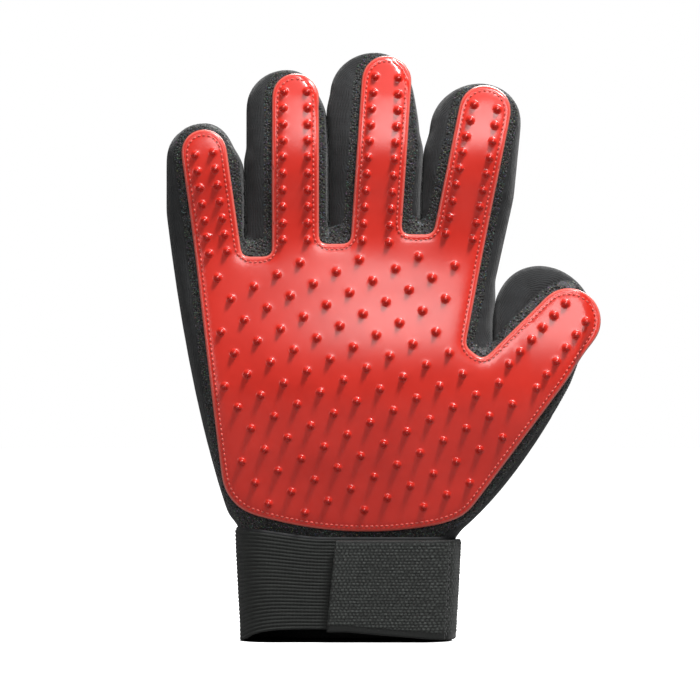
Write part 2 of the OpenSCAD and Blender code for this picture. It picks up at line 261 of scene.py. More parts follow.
def level_lines(points, faces, value, step):
    """Evenly spaced paths along which a value given at the points is zero."""
    links = {}
    below = (value[faces] < 0).sum(1)
    for face in faces[(below > 0) & (below < 3)]:
        ends = [tuple(sorted((face[k], face[k - 1]))) for k in range(3)]
        ends = [e for e in ends if (value[e[0]] < 0) != (value[e[1]] < 0)]
        links.setdefault(ends[0], []).append(ends[1])
        links.setdefault(ends[1], []).append(ends[0])

    def place(edge):
        a, b = edge
        k = value[a] / (value[a] - value[b])
        return points[a] + k * (points[b] - points[a])

    paths, left = [], dict(links)
    while left:
        start = next((e for e in left if len(links[e]) == 1), next(iter(left)))
        chain = [start]
        left.pop(start)
        while True:
            onward = [e for e in links[chain[-1]] if e in left]
            if not onward:
                break
            chain.append(onward[0])
            left.pop(onward[0])
        path = np.array([place(e) for e in chain])
        if chain[0] in links[chain[-1]] and len(chain) > 2:
            path = closed(path)
        if lengths(path)[-1] > 2 * step:
            paths.append(even(smoothed(path, 6), step))
    return paths


# ---- outlines of the CAD solids ----

def flat_loop(node, y):
    """Outline of a node's flat face at depth y."""
    mesh = frame["nodes"][node].data
    onward = {}
    spans = set()
    for face in mesh.polygons:
        corners = [tuple(round(c, 5) for c in mesh.vertices[i].co) for i in face.vertices]
        if any(abs(c[1] - y) > 2e-5 for c in corners):
            continue
        flat = [(c[0], c[2]) for c in corners]
        spans |= set(zip(flat, flat[1:] + flat[:1]))
    for a, b in spans:
        if (b, a) not in spans:
            onward[a] = b
    loops = []
    while onward:
        start, end = onward.popitem()
        loop = [start]
        while end in onward:
            loop.append(end)
            end = onward.pop(end)
        loops.append(loop)
    return np.array(max(loops, key=len))


def fold_lines():
    """A point and a direction along each digit's folds, in the plane of the palm."""
    lines = []
    for digit in DIGITS:
        for fold in ("base", "tip"):
            joint = JOINTS[f"{digit}_{fold}_bend"]
            lines.append((
                np.array([joint["pos_m"][0], joint["pos_m"][2]]),
                np.array([joint["axis"][0], joint["axis"][2]]),
            ))
    return lines


def on_fold(a, b):
    for centre, along in fold_lines():
        across = np.array([-along[1], along[0]])
        if all(abs((p - centre) @ across) < 0.25 * MM and np.linalg.norm(p - centre) < 32 * MM
               for p in (a, b)):
            return True
    return False


def joined_loop(nodes):
    """One closed loop round the front-plane faces of nodes that meet at the folds."""
    chains = []
    for node in nodes:
        loop = flat_loop(node, FRONT_Y)
        cuts = [i for i in range(len(loop)) if on_fold(loop[i], loop[(i + 1) % len(loop)])]
        for this, after in zip(cuts, cuts[1:] + [cuts[0] + len(loop)]):
            chain = [loop[i % len(loop)] for i in range(this + 1, after + 1)]
            if len(chain) > 1:
                chains.append(np.array(chain))
    path = chains.pop(0)
    while chains:
        gaps = [np.linalg.norm(chain[0] - path[-1]) for chain in chains]
        path = np.vstack([path, chains.pop(int(np.argmin(gaps)))])
    return path


def opened_at_wrist(loop):
    """The silhouette as an open path from one side of the wrist round the digits to the other."""
    bottom = loop[:, 1] < WRIST_Z + 0.3 * MM
    first = next(i for i in range(len(loop)) if bottom[i - 1] and not bottom[i])
    path = np.roll(loop, -(first - 1), axis=0)
    last = next(i for i in range(1, len(path)) if path[i, 1] < WRIST_Z + 0.3 * MM)
    return path[:last + 1]


def family(layer):
    hand_node = {"mesh": "palm_mesh", "pad": "palm_pad"}[layer]
    return [hand_node] + [f"{digit}_{part}_{layer}" for digit in DIGITS for part in ("base", "tip")]


def smoothstep(value, low=0.0, high=1.0):
    k = np.clip((value - low) / (high - low), 0, 1)
    return k * k * (3 - 2 * k)


def bump(value, middle, half_width):
    """A smooth hump of height 1."""
    return np.exp(-((value - middle) / half_width) ** 2)


def follow(value, places):
    """A smooth curve through (place, height) pairs, flat at each end."""
    at, height = np.array(places, float).T
    value = np.clip(value, at[0], at[-1])
    k = np.clip(np.searchsorted(at, value, side="right") - 1, 0, len(at) - 2)
    slope = np.gradient(height, at)
    slope[0] = slope[-1] = 0
    run = at[k + 1] - at[k]
    t = (value - at[k]) / run
    return (
        (1 + 2 * t) * (1 - t) ** 2 * height[k] + t * (1 - t) ** 2 * run * slope[k]
        + t * t * (3 - 2 * t) * height[k + 1] + t * t * (t - 1) * run * slope[k + 1]
    )


def tapered(path):
    """The silhouette with the fingertips narrowed on their thumb side."""
    path = path.copy()
    for digit in FINGERS[:3]:
        low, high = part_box(f"{digit}_tip_pad")
        fabric_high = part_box(f"{digit}_tip_mesh")[1]
        centre = (low.x + high.x) / 2
        fold_z = JOINTS[f"{digit}_tip_bend"]["pos_m"][2]
        chosen = (path[:, 0] > centre) & (path[:, 0] < fabric_high.x + 0.2 * MM)
        chosen &= path[:, 1] > fold_z - 12 * MM
        share = TIP_TAPER * smoothstep(path[chosen, 1], fold_z - 8 * MM, fabric_high.z - 6 * MM)
        path[chosen, 0] = centre + (path[chosen, 0] - centre) * (1 - share)
    return path


def tucked(path):
    """The silhouette led down inside the cuff at both ends."""
    inside_x = CUFF_HIGH.x - CUFF_CLEARANCE
    least = -inside_x - 0.9 * MM - 0.8 * np.maximum(path[:, 1] - WRIST_Z - 3 * MM, 0)
    low = (path[:, 1] < WRIST_Z + 14 * MM) & (path[:, 0] < 0)
    path = path.copy()
    path[low, 0] = np.maximum(path[low, 0], least[low])
    low = (path[:, 1] < WRIST_Z + 8 * MM) & (path[:, 0] > 0)
    path[low, 0] = np.maximum(path[low, 0], inside_x + STRAP_SIDE)
    ends = []
    for end, side in ((path[0], -1), (path[-1], 1)):
        ends.append(np.array([
            [side * inside_x, WRIST_Z - CUFF_TUCK],
            [side * inside_x, WRIST_Z - CUFF_TUCK * 0.6],
            [side * (inside_x + abs(end[0])) / 2, WRIST_Z - CUFF_TUCK * 0.35],
        ]))
    return np.vstack([ends[0], path, ends[1][::-1]])


raw_side = opened_at_wrist(joined_loop(family("mesh")))
if raw_side[0, 0] > raw_side[-1, 0]:
    raw_side = raw_side[::-1]
side_path = smoothed(even(tucked(tapered(even(raw_side, EDGE_STEP))), EDGE_STEP), 4)
drop = np.array([0, 60 * MM])
side_field = np.vstack([side_path[0] - drop, side_path, side_path[-1] - drop])
hem = even(side_path[[-1, 0]], EDGE_STEP)
shell_loop = np.vstack([side_path, hem[1:-1]])
grown_loop = np.vstack([side_field, side_field[-1:] - drop, side_field[:1] - drop])
pad_path = smoothed(even(closed(joined_loop(family("pad"))), EDGE_STEP), 3)
pad_loop = pad_path[:-1]


def inward(loop):
    """1 where a loop's left normals point into it, and -1 where they point out of it."""
    after = np.roll(loop, -1, axis=0)
    return 1 if (loop[:, 0] * after[:, 1] - loop[:, 1] * after[:, 0]).sum() > 0 else -1


def inset_rows(path, field, loop, insets, least):
    """The path moved inwards by each inset, without the points that come too near the field's lines."""
    rows = []
    for inset in insets:
        row = path + left_normals(path) * inward(loop) * inset
        rows.append(row[nearest(row, field)[0] > inset * least])
    return rows


# ---- folds and the bodies on either side of them ----

def gap_x(left, right):
    return (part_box(f"{left}_base_mesh")[1].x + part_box(f"{right}_base_mesh")[0].x) / 2


GAPS = [-1.0] + [gap_x(a, b) for a, b in zip(FINGERS, FINGERS[1:])] + [1.0]
THUMB_AXIS = np.array(JOINTS["thumb_base_bend"]["axis"])
THUMB_ROOT = np.array(JOINTS["thumb_base_bend"]["pos_m"])


def along_digit(digit, points):
    """Distance of (x, z) points along a digit from the height its first fold is at."""
    if digit == "thumb":
        return (points - THUMB_ROOT[[0, 2]]) @ np.array([-THUMB_AXIS[2], THUMB_AXIS[0]])
    return points[:, 1] - JOINTS[f"{digit}_base_bend"]["pos_m"][2]


def web_height(index):
    """Height of the foot of the gap beside a finger."""
    if not 0 < index < len(FINGERS):
        return 0
    near = (abs(side_path[:, 0] - GAPS[index]) < 1.5 * MM) & (side_path[:, 1] > CROTCH.z)
    return side_path[near, 1].min()


def fold_zones(digit):
    """Where a digit leaves the hand, where its two halves meet, and how far each fold bends."""
    second = np.array(JOINTS[f"{digit}_tip_bend"]["pos_m"])[[0, 2]]
    tip_fold = float(along_digit(digit, second[None])[0])
    if digit == "thumb":
        half_base = 7.6 * MM
    else:
        i = FINGERS.index(digit)
        web = max(web_height(i), web_height(i + 1)) + 1.0 * MM
        half_base = JOINTS[f"{digit}_base_bend"]["pos_m"][2] - web
    half_tip = min(12 * MM, tip_fold - half_base - 1.0 * MM)
    middle = (half_base + tip_fold - half_tip) / 2
    return {"start": -half_base, "base": half_base, "meet": middle,
            "tip": (tip_fold - half_tip, tip_fold + half_tip)}


ZONES = {digit: fold_zones(digit) for digit in DIGITS}


def touching_gaps():
    """For each gap beside a digit: where its two walls are, and how far up they touch."""
    gaps = []
    reach = 6 * MM
    for i, (joint, above) in enumerate(TOUCH):
        if joint == "thumb_tip_bend":
            x, low, slant = CROTCH_GAP_X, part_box("finger_webs")[0].z, 0.12
        else:
            x, low, slant = GAPS[i + 1], web_height(i + 1), 0
        end = JOINTS[joint]["pos_m"][2] + above * MM
        near = side_path[(abs(side_path[:, 0] - x) < reach) & (side_path[:, 1] > low + 1 * MM)
                         & (side_path[:, 1] < end + 8 * MM)]
        between = x + slant * np.maximum(near[:, 1] - low - 8 * MM, 0)
        walls = []
        for wall in (near[near[:, 0] < between], near[near[:, 0] >= between]):
            wall = wall[np.argsort(wall[:, 1])]
            walls.append((wall[:, 1], wall[:, 0]))
        gaps.append((x, low, end, walls))
    return gaps


TOUCHING = touching_gaps()


def drawn_together(points):
    """How far each point moves along x so that neighbouring digits touch below the open end of their gap."""
    moved = np.zeros(len(points))
    for x, low, end, (left, right) in TOUCHING:
        left_x = np.interp(points[:, 1], *left)
        right_x = np.interp(points[:, 1], *right)
        half = (right_x - left_x - CLOSED_GAP) / 2
        share = smoothstep(points[:, 1], low - 3 * MM, low - 0.5 * MM)
        share *= 1 - smoothstep(points[:, 1], end - 5 * MM, end + 5 * MM)
        on_left = points[:, 0] < (left_x + right_x) / 2
        inward = np.where(on_left, left_x - points[:, 0], points[:, 0] - right_x)
        near = np.exp(-(np.maximum(inward, 0) / (5 * MM)) ** 2) * (abs(points[:, 0] - x) < 14 * MM)
        moved += np.where(on_left, 1, -1) * half * share * near
    return moved


def side_of_gap(digit, points):
    """True for the points that lie on a digit's own side of the gaps beside it."""
    if digit == "thumb":
        above = points[:, 1] - CROTCH.z
        lean = np.interp(above, [-12 * MM, 3 * MM, 25 * MM], [0, 1.9 * MM, 10 * MM])
        return (points[:, 0] > CROTCH_GAP_X + lean) & (above < 25 * MM)
    i = FINGERS.index(digit)
    return (points[:, 0] > GAPS[i]) & (points[:, 0] < GAPS[i + 1])


def body_names(points):
    """Place in BODIES of the body each (x, z) point belongs to: 0 for the hand, then two for each digit."""
    label = np.zeros(len(points), int)
    for i, digit in enumerate(DIGITS):
        along = along_digit(digit, points)
        own = side_of_gap(digit, points) & (along > ZONES[digit]["start"])
        label[own] = 1 + 2 * i
        label[own & (along > ZONES[digit]["meet"])] = 2 + 2 * i
    return label


BODIES = ["hand"] + [f"{digit}_{part}" for digit in DIGITS for part in ("base", "tip")]


def cut_lines():
    """Straight lines across the digits, along which the glove is divided between bodies."""
    lines = []
    for digit in DIGITS:
        axis = THUMB_AXIS[[0, 2]] if digit == "thumb" else np.array([1.0, 0.0])
        onward = np.array([-axis[1], axis[0]])
        centre = np.array(JOINTS[f"{digit}_base_bend"]["pos_m"])[[0, 2]]
        for place in (ZONES[digit]["start"], ZONES[digit]["meet"]):
            line = even(np.array([centre + onward * place - axis * 32 * MM,
                                  centre + onward * place + axis * 32 * MM]), 1.3 * MM)
            keep = side_of_gap(digit, line) & is_inside(line, shell_loop)
            keep[1:-1] |= keep[:-2] | keep[2:]
            lines.append(line[keep])
    return lines


CUTS = cut_lines()


# ---- depth of the fabric shell and of the pad ----

def slot_centres():
    """The foot of each slot between two finger pads."""
    centres = []
    for left, right in zip(FINGERS, FINGERS[1:]):
        x = (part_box(f"{left}_base_pad")[1].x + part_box(f"{right}_base_pad")[0].x) / 2
        near = (abs(pad_loop[:, 0] - x) < 3 * MM) & (pad_loop[:, 1] > CROTCH.z)
        centres.append((x, pad_loop[near, 1].min()))
    return centres


SLOTS = slot_centres()


def centre_y(points):
    """Depth of the middle of the shell: centred in the cuff, leaning back at the fingertips."""
    lean = TIP_LEAN * np.clip((points[:, 1] - 160 * MM) / (76 * MM), 0, 2) ** 2
    return lean + MID_Y * smoothstep(points[:, 1], WRIST_Z + 1 * MM, WRIST_Z + 20 * MM)


def half_depth(points):
    return HALF_DEPTH * follow(points[:, 1] / MM, DEPTH_ALONG)


def rounded(share):
    """Height of a puffed panel at a share of the way in from its edge."""
    share = np.clip(share, 0, 1)
    return (1 - (1 - share) ** 2.3) ** (1 / 2.3)


def measured(points):
    """Distances of (x, z) points from the silhouette and the pad's edge, and their place along each."""
    from_side, side_place = nearest(points, side_field)
    from_side *= is_inside(points, grown_loop)
    from_pad, pad_place = nearest(points, pad_path)
    from_pad *= np.where(is_inside(points, pad_loop), -1, 1)
    return {"side": from_side, "side_place": side_place, "pad": from_pad, "pad_place": pad_place}


def front_y(points, at, least=0.0):
    """Depth of the palm side."""
    out = np.maximum(at["pad"], 0)
    share = at["side"] / np.maximum(at["side"] + out, SMALLEST_ROUND)
    rise = rounded(np.maximum(share, least))
    relief = MM * follow(points[:, 1] / MM, PALM_RELIEF)
    across = 1 - 0.25 * bump(points[:, 0], -60 * MM, 25 * MM)
    crown = EDGE_CROWN * rounded(np.maximum(-at["pad"], 0) / (9 * MM))
    in_palm = smoothstep(points[:, 1], WRIST_Z, WRIST_Z + 35 * MM)
    in_palm *= 1 - smoothstep(points[:, 1], 140 * MM, 180 * MM)
    crown += PALM_CROWN * (1 - np.minimum((points[:, 0] / (60 * MM)) ** 2, 1.5)) * in_palm
    return centre_y(points) - rise * (half_depth(points) + relief * across + crown)


def back_y(points, at):
    rise = rounded(at["side"] / BACK_ROUND)
    relief = BACK_RELIEF * bump(points[:, 1], 120 * MM, 55 * MM) * smoothstep(at["side"], 0, 40 * MM)
    return centre_y(points) + rise * (half_depth(points) + relief)


def front_seam(points, at):
    """Positive on the open-mesh panel, negative on the knit sides."""
    width = np.full(len(points), MESH_STRIP)
    for x, z in SLOTS:
        beside = bump(points[:, 0], x, 6 * MM)
        width += WEB_WIDENING * beside * smoothstep(points[:, 1], z + 8 * MM, z + 6.5 * MM)
    return np.minimum(width - at["pad"], at["side"] - SIDE_SEAM)


def back_seam(points, at):
    """Positive on the back panel, negative on the knit sides."""
    return at["side"] - BACK_SEAM


def creased(points, size, seed):
    """Smooth noise between -1 and 1."""
    return np.array([noise.noise(Vector((x / size, z / size, seed))) for x, z in points])


def sheet(y_of, seam_of, side):
    """One face of the shell: its points, triangles, seam field and coordinates for the weave."""
    rows = inset_rows(side_path, side_field, shell_loop, ROWS, 0.97)
    grid = grid_inside(shell_loop, side_field, SHELL_STEP, ROWS[-1] + 0.6 * SHELL_STEP)
    rough_points, rough_faces = triangulate(shell_loop, np.vstack(rows + [grid]), [])
    seams = level_lines(rough_points, rough_faces, seam_of(rough_points, measured(rough_points)), EDGE_STEP)
    beside = [line + left_normals(line) * k * SEAM_W for line in seams for k in (-1.4, 1.4)]
    beside = [line[is_inside(line, shell_loop)] for line in beside]
    inner = thinned(np.vstack(seams + beside + rows + [grid]), 0.42 * MM)
    lines = [line[2:-2] for line in seams if len(line) > 8]
    points, faces = triangulate(shell_loop, inner, lines + CUTS)
    at = measured(points)
    seam = seam_of(points, at)
    y = y_of(points, at)
    free = smoothstep(at["pad"], 1 * MM, 5 * MM) if side > 0 else np.ones(len(points))
    groove = SEAM_DEPTH * np.exp(-(seam / SEAM_W) ** 2) + 0.3 * MM * np.exp(-(seam / (4 * SEAM_W)) ** 2)
    wave = 0.35 * MM * creased(points, 16 * MM, 1 + side) + 0.16 * MM * creased(points, 5 * MM, 3 + side)
    y += side * (groove + wave * free) * smoothstep(at["side"], 0.2 * MM, 2 * MM)
    return {"points": points, "y": y, "faces": faces, "at": at, "seam": seam}


def turned_outwards(points, y, faces, side):
    """Triangles wound so that their normals face the palm side (side 1) or the back (side -1)."""
    a, b, c = (points[faces[:, k]] for k in range(3))
    area = (b[:, 0] - a[:, 0]) * (c[:, 1] - a[:, 1]) - (b[:, 1] - a[:, 1]) * (c[:, 0] - a[:, 0])
    return np.where((area * side > 0)[:, None], faces, faces[:, ::-1])


def vertex_normals(co, faces):
    normal = np.zeros_like(co)
    a, b, c = (co[faces[:, k]] for k in range(3))
    face_normal = np.cross(b - a, c - a)
    for k in range(3):
        np.add.at(normal, faces[:, k], face_normal)
    return normal / np.maximum(np.linalg.norm(normal, axis=1), 1e-15)[:, None]


def make_mesh(name, co, faces, normal, uvs, values, material):
    """A smooth-shaded object from arrays, keeping only the points that its faces use."""
    used = np.unique(faces)
    renumber = np.full(len(co), -1)
    renumber[used] = np.arange(len(used))
    faces = renumber[faces]
    mesh = bpy.data.meshes.new(name)
    mesh.from_pydata(co[used].tolist(), [], faces.tolist())
    for layer, uv in uvs.items():
        data = mesh.uv_layers.new(name=layer).data
        data.foreach_set("uv", uv[used][faces.ravel()].astype(np.float32).ravel())
    for key, value in values.items():
        mesh.attributes.new(key, "FLOAT", "POINT").data.foreach_set("value", value[used].astype(np.float32))
    mesh.shade_smooth()
    if normal is not None:
        mesh.normals_split_custom_set_from_vertices(normal[used].tolist())
    mesh.materials.append(material)
    made = bpy.data.objects.new(name, mesh)
    bpy.context.scene.collection.objects.link(made)
    return made


def attach(piece, label):
    """Lets a piece follow the hand, or for a digit's piece bakes its placement into its mesh. label is its
    place in BODIES.
    """
    if label == 0:
        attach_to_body(piece, "hand")
        return
    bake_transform(piece)


def split_by_body(name, co, faces, normal, uvs, values, material, nodes):
    """One piece per body, split where the flat coordinates say, before the gaps between digits are closed.

    nodes gives the CAD nodes that each body's piece stands for.
    """
    label = body_names(uvs["flat"][faces].mean(1))
    for i, body in enumerate(BODIES):
        if not (label == i).any():
            continue
        piece = make_mesh(f"{name}_{body}", co, faces[label == i], normal, uvs, values, material)
        attach(piece, i)
        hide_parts(*nodes(body))


def build_shell(materials):
    """The sewn fabric: open mesh round the pad, knit sides and the back."""
    front = sheet(front_y, front_seam, 1)
    back = sheet(back_y, back_seam, -1)
    co, faces, region, uv_flat, uv_band = [], [], [], [], []
    offset = 0
    for part, side in ((front, 1), (back, -1)):
        points, at = part["points"], part["at"]
        centre_seam = part["seam"][part["faces"]].mean(1)
        co.append(np.column_stack([points[:, 0] + drawn_together(points), part["y"], points[:, 1]]))
        faces.append(turned_outwards(points, part["y"], part["faces"], side) + offset)
        region.append(np.where(centre_seam < 0, 1, 0 if side > 0 else 2))
        uv_flat.append(points)
        middle = centre_y(points)
        uv_band.append(np.column_stack([side * np.hypot(at["side"], part["y"] - middle), at["side_place"]]))
        offset += len(points)
    co, faces, region = np.vstack(co), np.vstack(faces), np.concatenate(region)
    uvs = {"flat": np.vstack(uv_flat), "band": np.vstack(uv_band)}
    _, first, shared = np.unique(np.round(co, 6), axis=0, return_index=True, return_inverse=True)
    shared = shared.ravel()
    welded = first[shared]
    faces = welded[faces]
    normal = vertex_normals(co, faces)
    names = [
        ("open_mesh", "air_mesh", "mesh", ["palm_mesh"]),
        ("knit_side", "knit", "sides",
         ["little_side_panel", "thumb_side_panel", "thumb_crotch_panel", "finger_webs"]),
        ("back_fabric", "back_fabric", "back", ["back_panel"]),
    ]
    for i, (name, slot, layer, hand_nodes) in enumerate(names):
        chosen = faces[region == i]
        split_by_body(name, co, chosen, normal, uvs, {}, materials[slot],
                      lambda body: hand_nodes if body == "hand" else [f"{body}_{layer}"])


# ---- the moulded pad ----

def nub_centres():
    centres = []
    for node in family("pad"):
        co = np.array([v.co for v in frame["nodes"][node].data.vertices])
        tips = co[co[:, 1] < NUB_TIP_Y + 0.02 * MM][:, [0, 2]]
        while len(tips):
            near = np.linalg.norm(tips - tips[0], axis=1) < 2 * MM
            centres.append(tips[near].mean(0))
            tips = tips[~near]
    return np.array(centres)


def from_centres(points, centres):
    """Distance of each point from the nearest centre."""
    return np.min([np.linalg.norm(points - c, axis=1) for c in centres], axis=0)


def pad_y(points, at):
    """Depth of the pad's outer face without its nubs."""
    inset = np.maximum(-at["pad"], 0)
    edge = np.clip(inset / PAD_ROUND, 0, 1)
    thickness = PAD_T * (0.35 + 0.65 * np.sqrt(1 - (1 - edge) ** 2))
    groove = 0.22 * MM * np.exp(-((inset - STITCH_INSET) / (0.45 * MM)) ** 2)
    return front_y(points, at, PAD_OVERHANG) - thickness + groove


def build_pad(materials):
    centres = nub_centres()
    turn = np.linspace(0, 2 * math.pi, NUB_SIDES, endpoint=False)
    circle = np.column_stack([np.cos(turn), np.sin(turn)])
    rings = [c + circle * r * MM for c in centres for r, _ in NUB_SHAPE[1:]] + [centres]
    clear = NUB_SHAPE[-1][0] * MM + 0.5 * MM
    grid = grid_inside(pad_loop, pad_path, PAD_STEP, 3.4 * MM)
    grid = grid[from_centres(grid, centres) > clear]
    edge_rows = np.vstack(inset_rows(pad_path, pad_path, pad_loop, PAD_ROWS, 0.96))
    edge_rows = edge_rows[from_centres(edge_rows, centres) > clear - 0.3 * MM]
    inner = np.vstack(rings + [edge_rows, grid])
    inner = inner[is_inside(inner, pad_loop)]
    inner = inner[nearest(inner, pad_path)[0] > 0.08 * MM]
    inner = thinned(inner, 0.1 * MM)
    points, faces = triangulate(pad_loop, inner, CUTS)
    at = measured(points)
    nub = np.interp(from_centres(points, centres), *np.array(NUB_SHAPE).T * MM)
    y = pad_y(points, at) - nub
    under_inner = grid_inside(pad_loop, pad_path, 4 * MM, 1.5 * MM)
    under_points, under_faces = triangulate(pad_loop, under_inner, CUTS)
    under_y = front_y(under_points, measured(under_points), PAD_OVERHANG) - 0.03 * MM
    count = len(points)
    co = np.vstack([
        np.column_stack([points[:, 0], y, points[:, 1]]),
        np.column_stack([under_points[:, 0], under_y, under_points[:, 1]]),
    ])
    outer = turned_outwards(points, y, faces, 1)
    under = turned_outwards(under_points, under_y, under_faces, -1) + count
    rim = rim_faces(points, faces, outer, under_points, count)
    faces = np.vstack([outer, under, rim])
    inset = np.concatenate([np.maximum(-at["pad"], 0), np.zeros(len(under_points))])
    # edge and nub carry the painted rim highlight and the painted shade on the nubs into the rubber's
    # colour.
    values = {
        "edge": 1 - smoothstep(inset, 0.3 * MM, 1.1 * MM),
        "nub": np.concatenate([nub / NUB_H, np.zeros(len(under_points))]),
    }
    uvs = {"flat": co[:, [0, 2]]}
    split_by_body("rubber_pad", co, faces, vertex_normals(co, faces), uvs, values,
                  materials["rubber_pad"],
                  lambda body: ["palm_pad"] if body == "hand" else [f"{body}_pad"])
    build_pad_stitches(materials)


def rim_faces(points, faces, outer, under_points, offset):
    """Triangles that join the edge of the outer face to the edge of the underside."""
    spans = set()
    for a, b, c in outer:
        spans |= {(a, b), (b, c), (c, a)}
    edge = [(a, b) for a, b in spans if (b, a) not in spans]
    below = {tuple(np.round(p, 6)): i for i, p in enumerate(under_points)}
    rim = []
    for a, b in edge:
        c, d = (below.get(tuple(np.round(points[k], 6))) for k in (a, b))
        if c is None or d is None:
            continue
        rim += [(b, a, c + offset), (b, c + offset, d + offset)]
    return np.array(rim)


def build_pad_stitches(materials):
    """Short raised stitches that sink into the pad at both ends."""
    line = inset_rows(pad_path, pad_path, pad_loop, [STITCH_INSET], 0.97)[0]
    line = even(smoothed(line, 4), STITCH_PITCH)
    middle = (line[:-1] + line[1:]) / 2
    run = np.diff(line, axis=0) / STITCH_PITCH
    shape = [(-0.68, 0.14, -0.12), (-0.42, 0.3, 0.16), (0, 0.34, 0.24),
             (0.42, 0.3, 0.16), (0.68, 0.14, -0.12)]
    sides = 6
    rings = []
    for along, radius, lift in shape:
        centre = middle + run * along * MM
        y = pad_y(centre, measured(centre)) - lift * MM
        for k in range(sides):
            angle = 2 * math.pi * k / sides
            out = centre + np.column_stack([-run[:, 1], run[:, 0]]) * math.cos(angle) * radius * MM
            rings.append(np.column_stack([out[:, 0], y - math.sin(angle) * radius * MM, out[:, 1]]))
    co = np.stack(rings, axis=1)
    per_stitch = len(shape) * sides
    faces = []
    for ring in range(len(shape) - 1):
        for k in range(sides):
            a, b = ring * sides + k, ring * sides + (k + 1) % sides
            faces += [(a, b, b + sides), (a, b + sides, a + sides)]
    for k in range(1, sides - 1):
        last = per_stitch - sides
        faces += [(0, k + 1, k), (last, last + k, last + k + 1)]
    faces = np.array(faces)
    label = body_names(middle)
    for i, body in enumerate(BODIES):
        own = np.flatnonzero(label == i)
        if not len(own):
            continue
        every = (faces[None] + np.arange(len(own))[:, None, None] * per_stitch).reshape(-1, 3)
        piece = make_mesh(f"pad_stitches_{body}", co[own].reshape(-1, 3), every, None, {}, {},
                          materials["red_thread"])
        attach(piece, i)
        if i == 0:
            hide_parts("pad_stitches")


# ---- cuff and closure ----

def oval_place(along, grow):
    """A point on the flat oval round the wrist, from its arc length past the middle of the palm side."""
    radius = CUFF_DEPTH
    turn = math.pi * radius
    a = (along + CUFF_FLAT) % CUFF_ROUND
    straight = 2 * CUFF_FLAT
    out = radius + grow
    on_front, on_right, on_back = a < straight, a < straight + turn, a < 2 * straight + turn
    right = (a - straight) / radius
    left = (a - 2 * straight - turn) / radius
    x = np.where(on_front, a - CUFF_FLAT, np.where(on_right, CUFF_FLAT + out * np.sin(right),
                 np.where(on_back, CUFF_FLAT - (a - straight - turn), -CUFF_FLAT - out * np.sin(left))))
    y = np.where(on_front, -out, np.where(on_right, -out * np.cos(right),
                 np.where(on_back, out, out * np.cos(left))))
    return x, y


def narrowed(co):
    """The cuff tapers a little towards its rim."""
    share = 1 + follow(co[:, 2] / MM, [(0, -0.022), (22, 0.002), (46, 0.024)])
    return co * np.column_stack([share, np.ones(len(co)), np.ones(len(co))])


def grid_faces(rows, columns, wrap_rows=False, wrap_columns=False):
    """Quads over a grid of points stored row by row."""
    i = np.arange(rows if wrap_rows else rows - 1)
    j = np.arange(columns if wrap_columns else columns - 1)
    i, j = (k.ravel() for k in np.meshgrid(i, j, indexing="ij"))
    down, on = (i + 1) % rows, (j + 1) % columns
    return np.column_stack([i * columns + j, i * columns + on, down * columns + on, down * columns + j])


def swept_ring(name, heights, offsets, material, low_edge=None, crest=None):
    """A closed band round the cuff: each profile point has a share of the height and an offset."""
    along = np.linspace(0, CUFF_ROUND, 360, endpoint=False)
    rows = []
    for share, offset in zip(heights, offsets):
        x, y = oval_place(along, offset)
        top = CUFF_TOP + CUFF_LIFT * smoothstep(-x, 8 * MM, 42 * MM)
        low = low_edge(x, y) if low_edge else top
        rows.append(np.column_stack([x, y, low + (top - low) * share if low_edge else low + share]))
    co = narrowed(np.vstack(rows))
    faces = grid_faces(len(rows), len(along), True, True)
    uv = np.column_stack([np.tile(along, len(rows)), co[:, 2]])
    values = {} if crest is None else {"crest": np.repeat(crest, len(along))}
    piece = make_mesh(name, co, faces, None, {"flat": uv}, values, material)
    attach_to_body(piece, "hand")
    return piece


def arched_rim(x, y):
    """Height of the cuff's lower edge, arched on the palm side."""
    arch = RIM_RISE * (1 - np.clip(np.abs(x) / CUFF_HIGH.x, 0, 1) ** 6)
    return arch * smoothstep(-y, 0, CUFF_DEPTH * 0.8)


def build_cuff(materials):
    ribs, per_rib = 27, 6
    share = np.linspace(0.012, 0.988, ribs * per_rib + 1)
    wave = 0.34 * MM * np.abs(np.sin(math.pi * share * ribs)) ** 0.75
    outer = list(zip(share, wave - 0.3 * MM))
    inner = [(k, -ELASTIC_T + 0.16 * MM * abs(math.sin(math.pi * k * ribs)))
             for k in np.linspace(0.988, 0.012, 2 * ribs)]
    profile = [(0, -0.55 * MM)] + outer + [(1, -0.6 * MM), (1, -ELASTIC_T + 0.4 * MM)] + inner
    profile += [(0, -ELASTIC_T + 0.4 * MM)]
    crest = np.array([abs(math.sin(math.pi * p[0] * ribs)) ** 0.75 for p in profile])
    cuff = swept_ring("cuff_elastic_band", [p[0] for p in profile], [p[1] for p in profile],
                      materials["ribbed_elastic"], arched_rim, crest)
    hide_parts("cuff_elastic")
    turn = np.linspace(0, 2 * math.pi, 12, endpoint=False)
    seam = swept_ring("wrist_seam_roll", (0.2 + 0.75 * np.sin(turn)) * MM, (-1.1 + 0.75 * np.cos(turn)) * MM,
                      materials["knit"])
    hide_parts("wrist_seam")


